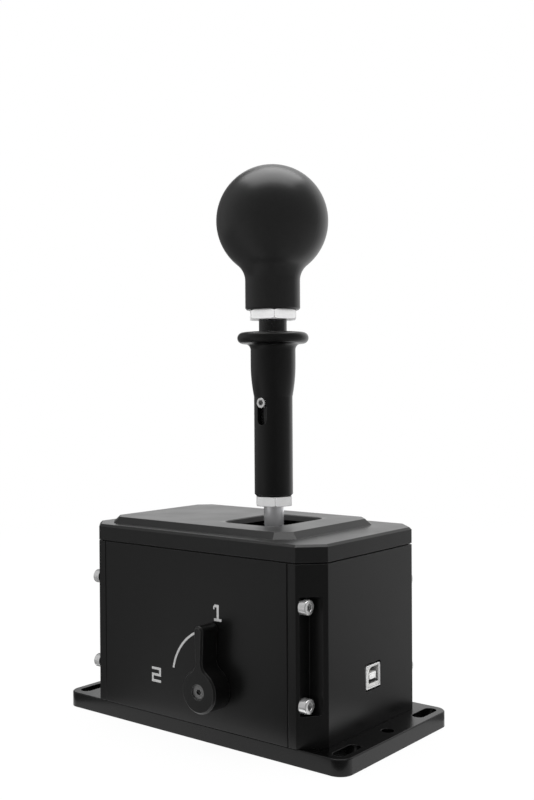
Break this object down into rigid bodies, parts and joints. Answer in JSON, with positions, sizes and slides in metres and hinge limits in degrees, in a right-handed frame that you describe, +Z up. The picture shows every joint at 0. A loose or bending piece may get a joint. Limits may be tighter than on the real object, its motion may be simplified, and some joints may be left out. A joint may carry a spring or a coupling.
{
  "type": "sim racing gear shifter",
  "caption": "Two-axis gear shifter in a screwed metal box on a slotted base plate, with a ball knob, a lift collar for reverse and a small mode lever.",
  "frame": {"origin": "middle of the base plate's underside", "axes": "+Z up along the lever, +X along the long side towards the data socket, -Y towards the face with the mode lever"},
  "size_m": [0.1732, 0.1024, 0.2738],
  "materials": {
    "black_anodised": "bead-blasted, black anodised",
    "clear_anodised": "milled",
    "bright_steel": "bright zinc and polished steel",
    "plain_steel": "ground and turned",
    "spring_steel": "drawn wire and strip",
    "black_oxide": "black oxide",
    "knob_plastic": "turned, satin",
    "brass": "turned",
    "circuit_board": "solder mask",
    "component_plastic": "moulded",
    "socket_plastic": "moulded",
    "lead_rubber": "extruded"
  },
  "bodies": {
    "root": {"base_plate": "black_anodised", "front_end_cap": "black_anodised", "rear_end_cap": "black_anodised", "lever_side_plate": "black_anodised", "plain_side_plate": "black_anodised", "top_cover": "black_anodised", "housing_screws": "bright_steel", "base_screws": "plain_steel", "cover_screws": "plain_steel", "front_pedestal": "clear_anodised", "rear_pedestal": "clear_anodised", "select_bearings": "plain_steel", "spring_seats": "plain_steel", "centring_springs": "spring_steel", "gate_plate": "plain_steel", "gate_standoffs": "plain_steel", "gate_screws": "plain_steel", "reverse_stop": "plain_steel", "sensor_board": "circuit_board", "sensor_spacers": "component_plastic", "sensor_screws": "plain_steel", "sensor_parts": "component_plastic", "main_board": "circuit_board", "main_standoffs": "plain_steel", "main_screws": "plain_steel", "main_parts": "component_plastic", "usb_socket": "socket_plastic", "sensor_lead": "lead_rubber", "mode_bush": "brass", "slider_guide_screws": "plain_steel", "wave_washer": "spring_steel"},
    "cradle": {"cradle": "clear_anodised", "select_axles": "plain_steel", "shift_bearings": "plain_steel", "detent_spring": "spring_steel", "detent_screw": "plain_steel"},
    "lever": {"shift_hub": "clear_anodised", "shift_axles": "plain_steel", "shift_shaft": "bright_steel", "lower_nut": "bright_steel", "extension_tube": "black_oxide", "upper_nut": "bright_steel", "knob": "knob_plastic", "knob_insert": "brass", "sleeve_guide_screw": "bright_steel", "spring_retainer": "plain_steel", "collar_spring": "spring_steel", "gate_pin": "plain_steel", "tip_magnet": "plain_steel"},
    "collar": {"lockout_sleeve": "black_anodised", "lockout_rod": "plain_steel", "lockout_pins": "plain_steel", "lockout_ring": "plain_steel"},
    "mode_lever": {"mode_lever": "black_anodised", "mode_lever_screw": "bright_steel", "mode_shaft": "plain_steel"},
    "mode_slider": {"mode_slider": "plain_steel", "lock_pin_spring": "spring_steel"},
    "lock_pin": {"lock_pin": "plain_steel"}
  },
  "joints": [
    {"name": "sideways_tilt", "type": "hinge", "parent": "root", "child": "cradle", "pos_m": [0.0147, 0, 0.05], "axis": [1, 0, 0], "range_deg": [-16, 16], "stiffness_Nm_per_rad": 4, "deforming": ["centring_springs"]},
    {"name": "shift_tilt", "type": "hinge", "parent": "cradle", "child": "lever", "pos_m": [0.0147, 0, 0.05], "axis": [0, -1, 0], "range_deg": [-11, 11], "deforming": ["detent_spring"]},
    {"name": "collar_lift", "type": "slide", "parent": "lever", "child": "collar", "axis": [0, 0, 1], "range_m": [0, 0.006], "stiffness_N_per_m": 600, "springref_m": -0.006, "deforming": ["collar_spring"]},
    {"name": "mode_turn", "type": "hinge", "parent": "root", "child": "mode_lever", "pos_m": [0.0147, -0.05, 0.0265], "axis": [0, -1, 0], "range_deg": [0, 91.5]},
    {"name": "slider_travel", "type": "slide", "parent": "root", "child": "mode_slider", "axis": [1, 0, 0], "range_m": [0, 0.006]},
    {"name": "lock_pin_give", "type": "slide", "parent": "mode_slider", "child": "lock_pin", "axis": [-1, 0, 0], "range_m": [0, 0.006], "stiffness_N_per_m": 300, "deforming": ["lock_pin_spring"]}
  ],
  "couplings": [
    {"joint": "mode_turn", "follows": "slider_travel", "rad_per_m": 261.8}
  ]
}
